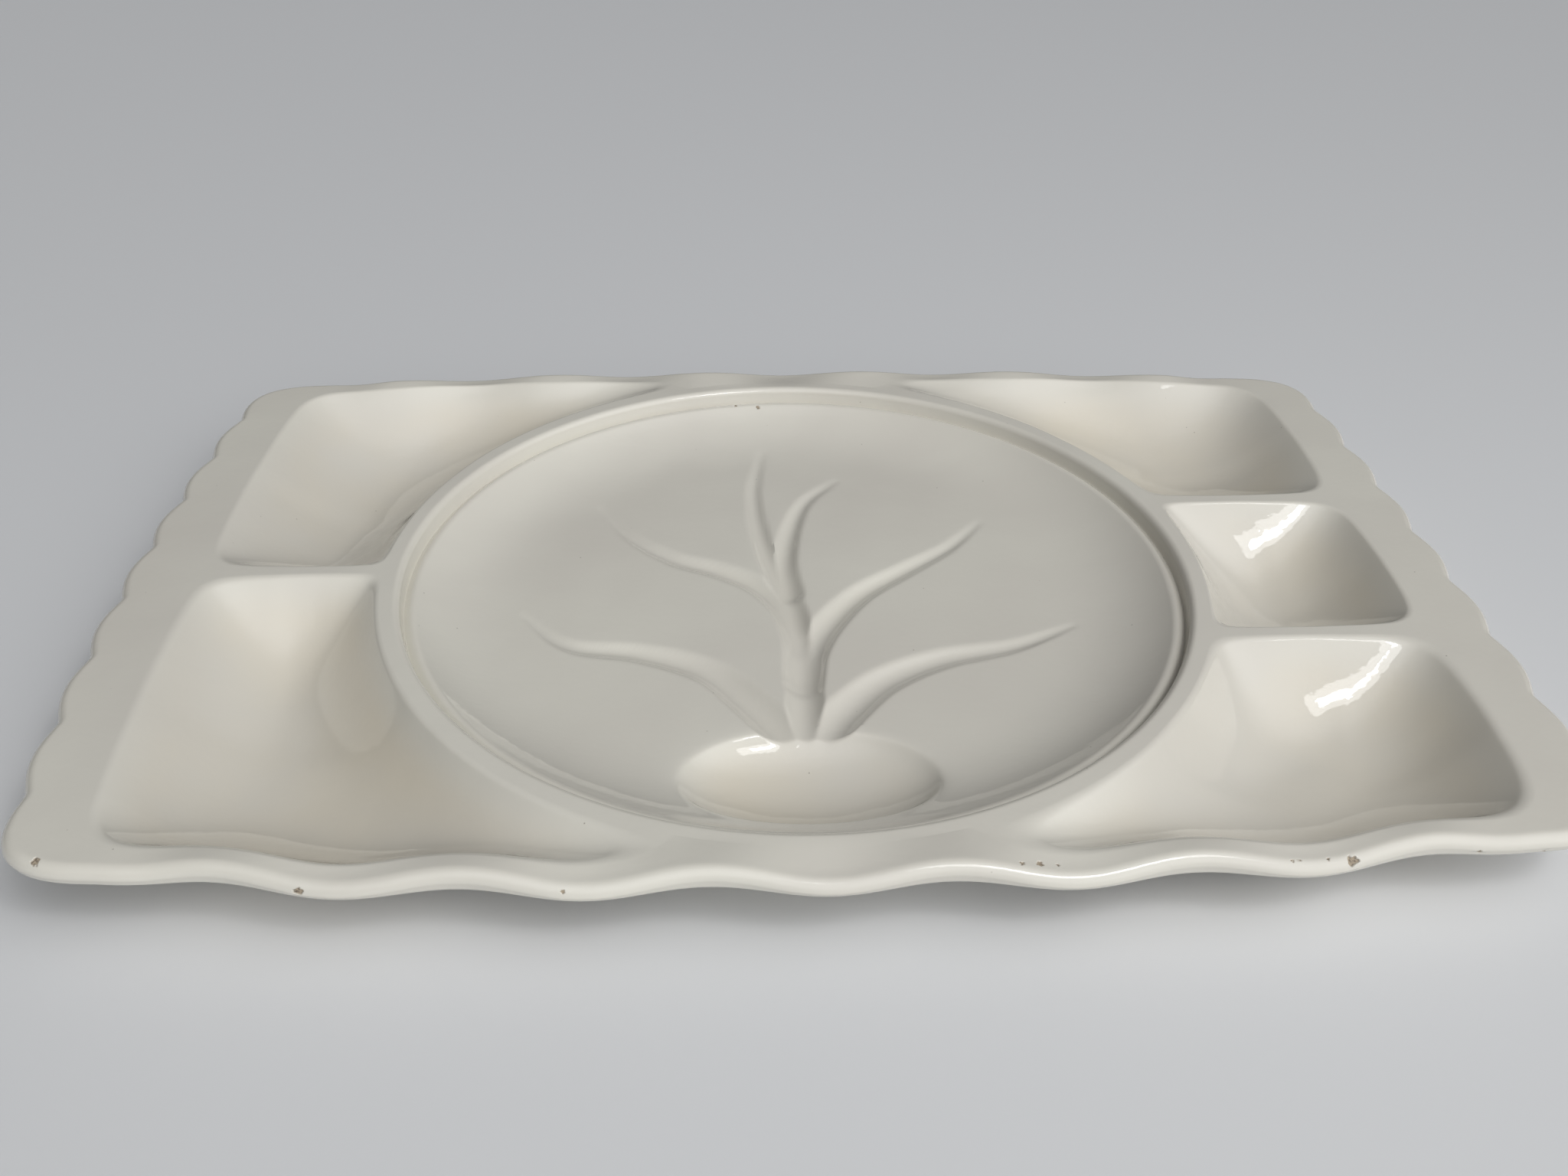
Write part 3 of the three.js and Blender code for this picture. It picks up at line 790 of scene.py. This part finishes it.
def calmEdge():
    # the outline without its scallops, anticlockwise from the right side's front end
    cornerX, cornerY = valleyX(lip["sideSpan"]), longEdgeY(lip["cornerStart"])
    steers = [
        Vector((cornerX, lip["sideSpan"])),
        Vector((cornerX + lip["cornerBulge"], cornerY - lip["cornerEase"])),
        Vector((cornerX - lip["cornerEase"], cornerY)),
        Vector((lip["cornerStart"], cornerY)),
    ]
    count = lip["samples"]
    corner = []
    for i in range(1, count):
        t = i / count
        weights = [(1 - t) ** 3, 3 * t * (1 - t) ** 2, 3 * t * t * (1 - t), t ** 3]
        corner.append(sum((steer * weight for steer, weight in zip(steers, weights)), Vector((0, 0))))
    sideYs = [lip["sideSpan"] * (i / count - 1) for i in range(2 * count + 1)]
    longXs = [lip["cornerStart"] * (1 - i / (2 * count)) for i in range(4 * count + 1)]
    side = [Vector((valleyX(y), y)) for y in sideYs]
    top = [Vector((x, longEdgeY(x))) for x in longXs]
    mirrored = [Vector((-point.x, point.y)) for point in reversed(corner)]
    half = side + corner + top + mirrored
    return half + [-point for point in half]


def lipOutline():
    # the calm edge at an even spacing, with its normals
    points = resampled(calmEdge(), lip["around"])
    count = len(points)
    for _ in range(lip["smoothRounds"]):
        points = [(points[i - 1] + points[i] * 2 + points[(i + 1) % count]) / 4 for i in range(count)]
    normals = []
    for i in range(count):
        along = (points[(i + 1) % count] - points[i - 1]).normalized()
        normals.append(Vector((along.y, -along.x)))
    return points, normals


def deckHoles():
    # the plate's edge and the bowls' mouths, all anticlockwise
    turns = [2 * math.pi * i / plate["around"] for i in range(plate["around"])]
    holes = [[Vector((math.cos(turn), math.sin(turn))) * dish["ledgeRadius"] for turn in turns]]
    for bowl in bowls:
        mouth = [Vector((bowl["sx"] * point.x, bowl["sy"] * point.y)) for point in bowl["mouth"]]
        holes.append(mouth if bowl["sx"] == bowl["sy"] else mouth[::-1])
    return [[(point.x + dish["axisX"], point.y, dish["deck"]) for point in hole] for hole in holes]


def lipSection(wave):
    # distance out from the calm edge, and height, from the deck over the lip to its underside
    deck, top, under = dish["deck"], lip["topRound"], lip["underRound"]
    start = wave - lip["band"]
    inner = start + lip["seamRow"]
    section = [(start, deck), (inner, deck)]
    for i in range(1, lip["flatRows"]):
        section.append((mix(inner, wave - top, i / lip["flatRows"]), deck))
    for i in range(lip["topRows"] + 1):
        turn = math.pi / 2 * (1 - i / lip["topRows"])
        section.append((wave - top + top * math.cos(turn), deck - top + top * math.sin(turn)))
    foot = deck - top - lip["face"]
    for i in range(lip["underRows"] + 1):
        turn = -math.pi / 2 * i / lip["underRows"]
        out = wave - lip["faceLean"] - under * (1 - math.cos(turn))
        section.append((out, foot + under * math.sin(turn)))
    out, height = section[-1]
    for i in range(1, lip["backRows"] + 1):
        share = i / lip["backRows"]
        section.append((mix(out, start, share), mix(height, deck - dish["wall"], share)))
    return section


keepInside, fillTolerance = 1, 1e-7  # the triangulation keeps what lies inside the outer loop


def fillDeck(bm, loops):
    # triangles between the lip's strip and the holes
    verts, edges, owners = [], [], []
    for owner, loop in enumerate(loops):
        first = len(verts)
        verts += loop
        owners += [owner] * len(loop)
        edges += [(first + i, first + (i + 1) % len(loop)) for i in range(len(loop))]
    places = [v.co.xy for v in verts]
    made = geometry.delaunay_2d_cdt(places, edges, [], keepInside, fillTolerance)
    triangles, sources = made[2], made[3]
    for corners in triangles:
        a, b, c = (sources[k][0] for k in corners)
        # inside a hole, a triangle's corners follow the hole's own order
        inOrder = a < b < c or b < c < a or c < a < b
        if not (inOrder and 0 < owners[a] == owners[b] == owners[c]):
            bm.faces.new((verts[a], verts[b], verts[c]))


def rimMesh():
    points, normals = lipOutline()
    sections = [lipSection(edgeWave(point.x, point.y)) for point in points]
    rows = len(sections[0]) - 1
    count = len(points)

    def place(u, v):
        i = round(u * count) % count
        out, height = sections[i][round(v * rows)]
        spot = points[i] + normals[i] * out
        return Vector((spot.x, spot.y, height))

    bm = gridMesh(count, rows, place)
    middle = dish["deck"] - dish["wall"] / 2
    ends = sorted((v for v in bm.verts if v.is_boundary), key=lambda v: math.atan2(v.co.y, v.co.x))
    tops = [[v for v in ends if v.co.z > middle]]
    unders = [[v for v in ends if v.co.z < middle]]
    for hole in deckHoles():
        loop = [bm.verts.new(corner) for corner in hole]
        edges = [bm.edges.new(pair) for pair in zip(loop, loop[1:] + loop[:1])]
        made = bmesh.ops.extrude_edge_only(bm, edges=edges)["geom"]
        copies = {v for v in made if isinstance(v, bmesh.types.BMVert)}
        lowered = [next(e.other_vert(v) for e in v.link_edges if e.other_vert(v) in copies) for v in loop]
        bmesh.ops.translate(bm, vec=(0, 0, -dish["wall"]), verts=lowered)
        tops.append(loop)
        unders.append(lowered)
    fillDeck(bm, tops)
    fillDeck(bm, unders)
    return bm


# knocks along the front lip, in millimetres
lipChips = [
    {"at": (-255.3, -170.7, 37.7), "size": 1.7, "deep": 0.5},
    {"at": (-170.0, -182.9, 33.7), "size": 1.6, "deep": 0.5},
    {"at": (-85.9, -186.6, 34.8), "size": 0.9, "deep": 0.3},
    {"at": (62.0, -181.3, 37.2), "size": 1.0, "deep": 0.3},
    {"at": (67.9, -180.9, 37.3), "size": 1.3, "deep": 0.3},
    {"at": (74.0, -181.1, 37.2), "size": 1.0, "deep": 0.3},
    {"at": (151.4, -181.6, 36.8), "size": 0.8, "deep": 0.3},
    {"at": (154.1, -181.3, 36.7), "size": 0.7, "deep": 0.3},
    {"at": (163.6, -181.0, 36.5), "size": 0.8, "deep": 0.3},
    {"at": (171.5, -181.8, 35.6), "size": 2.1, "deep": 0.7},
    {"at": (216.9, -176.5, 33.3), "size": 0.9, "deep": 0.3},
    {"at": (240.3, -175.4, 31.1), "size": 1.0, "deep": 0.3},
]
finishPiece(rimMesh(), "scallopedRim", "scalloped_rim", plate["shadeAndPoolDepths"], lipChips)

# studio, in metres
studio = {
    "floor": "#DCDDDE",
    "floorRoughness": 0.9,
    "floorHalf": 8.0,
    "light": "#F4F5F7",
    "allRound": 0.05,  # even light from all sides
    "front": 1.95,  # more of it towards the front right
    "frontFrom": (0.42, -0.62, 0.66),
    "frontSpread": (0.5, 1.0),
}
panels = [
    {"name": "keyPanel", "at": (0.42, -0.80, 1.12), "size": (0.56, 0.42), "power": 3.2},
    {"name": "sparkPanel", "at": (0.41, -0.74, 1.06), "size": (0.20, 0.14), "power": 1.2},
]


def floorMaterial():
    # matt paper: even and without a shine
    material = bpy.data.materials.new("mattPaper")
    material.use_nodes = True
    shader = material.node_tree.nodes["Principled BSDF"]
    shader.inputs["Base Color"].default_value = srgb(studio["floor"])
    shader.inputs["Roughness"].default_value = studio["floorRoughness"]
    return material


def makeFloor():
    bm = bmesh.new()
    bmesh.ops.create_grid(bm, x_segments=2, y_segments=2, size=studio["floorHalf"])
    mesh = bpy.data.meshes.new("floor")
    bm.to_mesh(mesh)
    bm.free()
    mesh.materials.append(floorMaterial())
    floor = bpy.data.objects.new("floor", mesh)
    bpy.context.scene.collection.objects.link(floor)


def panelLight(panel):
    light = bpy.data.lights.new(panel["name"], "AREA")
    light.shape = "RECTANGLE"
    light.size, light.size_y = panel["size"]
    light.energy = panel["power"]
    lamp = bpy.data.objects.new(panel["name"], light)
    lamp.location = panel["at"]
    lamp.rotation_euler = (-Vector(panel["at"])).to_track_quat("-Z", "Y").to_euler()
    bpy.context.scene.collection.objects.link(lamp)


def softWorld():
    # light from all sides that grows softly towards the front right, with no edges to mirror
    world = bpy.data.worlds.new("studio")
    world.use_nodes = True
    tree = world.node_tree
    towards = addNode(tree, "ShaderNodeTexCoord", "Generated")
    inputs = {0: towards, 1: Vector(studio["frontFrom"]).normalized()}
    facing = addNode(tree, "ShaderNodeVectorMath", "Value", {"operation": "DOT_PRODUCT"}, inputs)
    low, high = studio["frontSpread"]
    inputs = {"Value": facing, "From Min": low, "From Max": high}
    inputs.update({"To Min": studio["allRound"], "To Max": studio["front"]})
    strength = addNode(tree, "ShaderNodeMapRange", "Result", {"interpolation_type": "SMOOTHSTEP"}, inputs)
    background = tree.nodes["Background"]
    background.inputs["Color"].default_value = srgb(studio["light"])
    tree.links.new(strength, background.inputs["Strength"])
    bpy.context.scene.world = world


makeFloor()
for panel in panels:
    panelLight(panel)
softWorld()
bpy.context.scene.view_settings.view_transform = "Standard"

# camera, at the photograph's angle in a frame of 2048 by 1536 pixels
view = {
    "at": (-0.03394, -0.51703, 0.37335),
    "pitch": 33.995,
    "yaw": 2.957,
    "roll": 0.848,
    "lens": 33.27,
    "sensor": 36.0,
}


def makeCamera():
    data = bpy.data.cameras.new("camera")
    data.sensor_width = view["sensor"]
    data.lens = view["lens"]
    camera = bpy.data.objects.new("camera", data)
    pitch, yaw, roll = (math.radians(view[key]) for key in ("pitch", "yaw", "roll"))
    turn = Matrix.Rotation(-yaw, 3, "Z") @ Matrix.Rotation(math.pi / 2 - pitch, 3, "X")
    turn = turn @ Matrix.Rotation(roll, 3, "Z")
    camera.rotation_euler = turn.to_euler()
    camera.location = view["at"]
    bpy.context.scene.collection.objects.link(camera)
    bpy.context.scene.camera = camera


makeCamera()
print("studio ready")
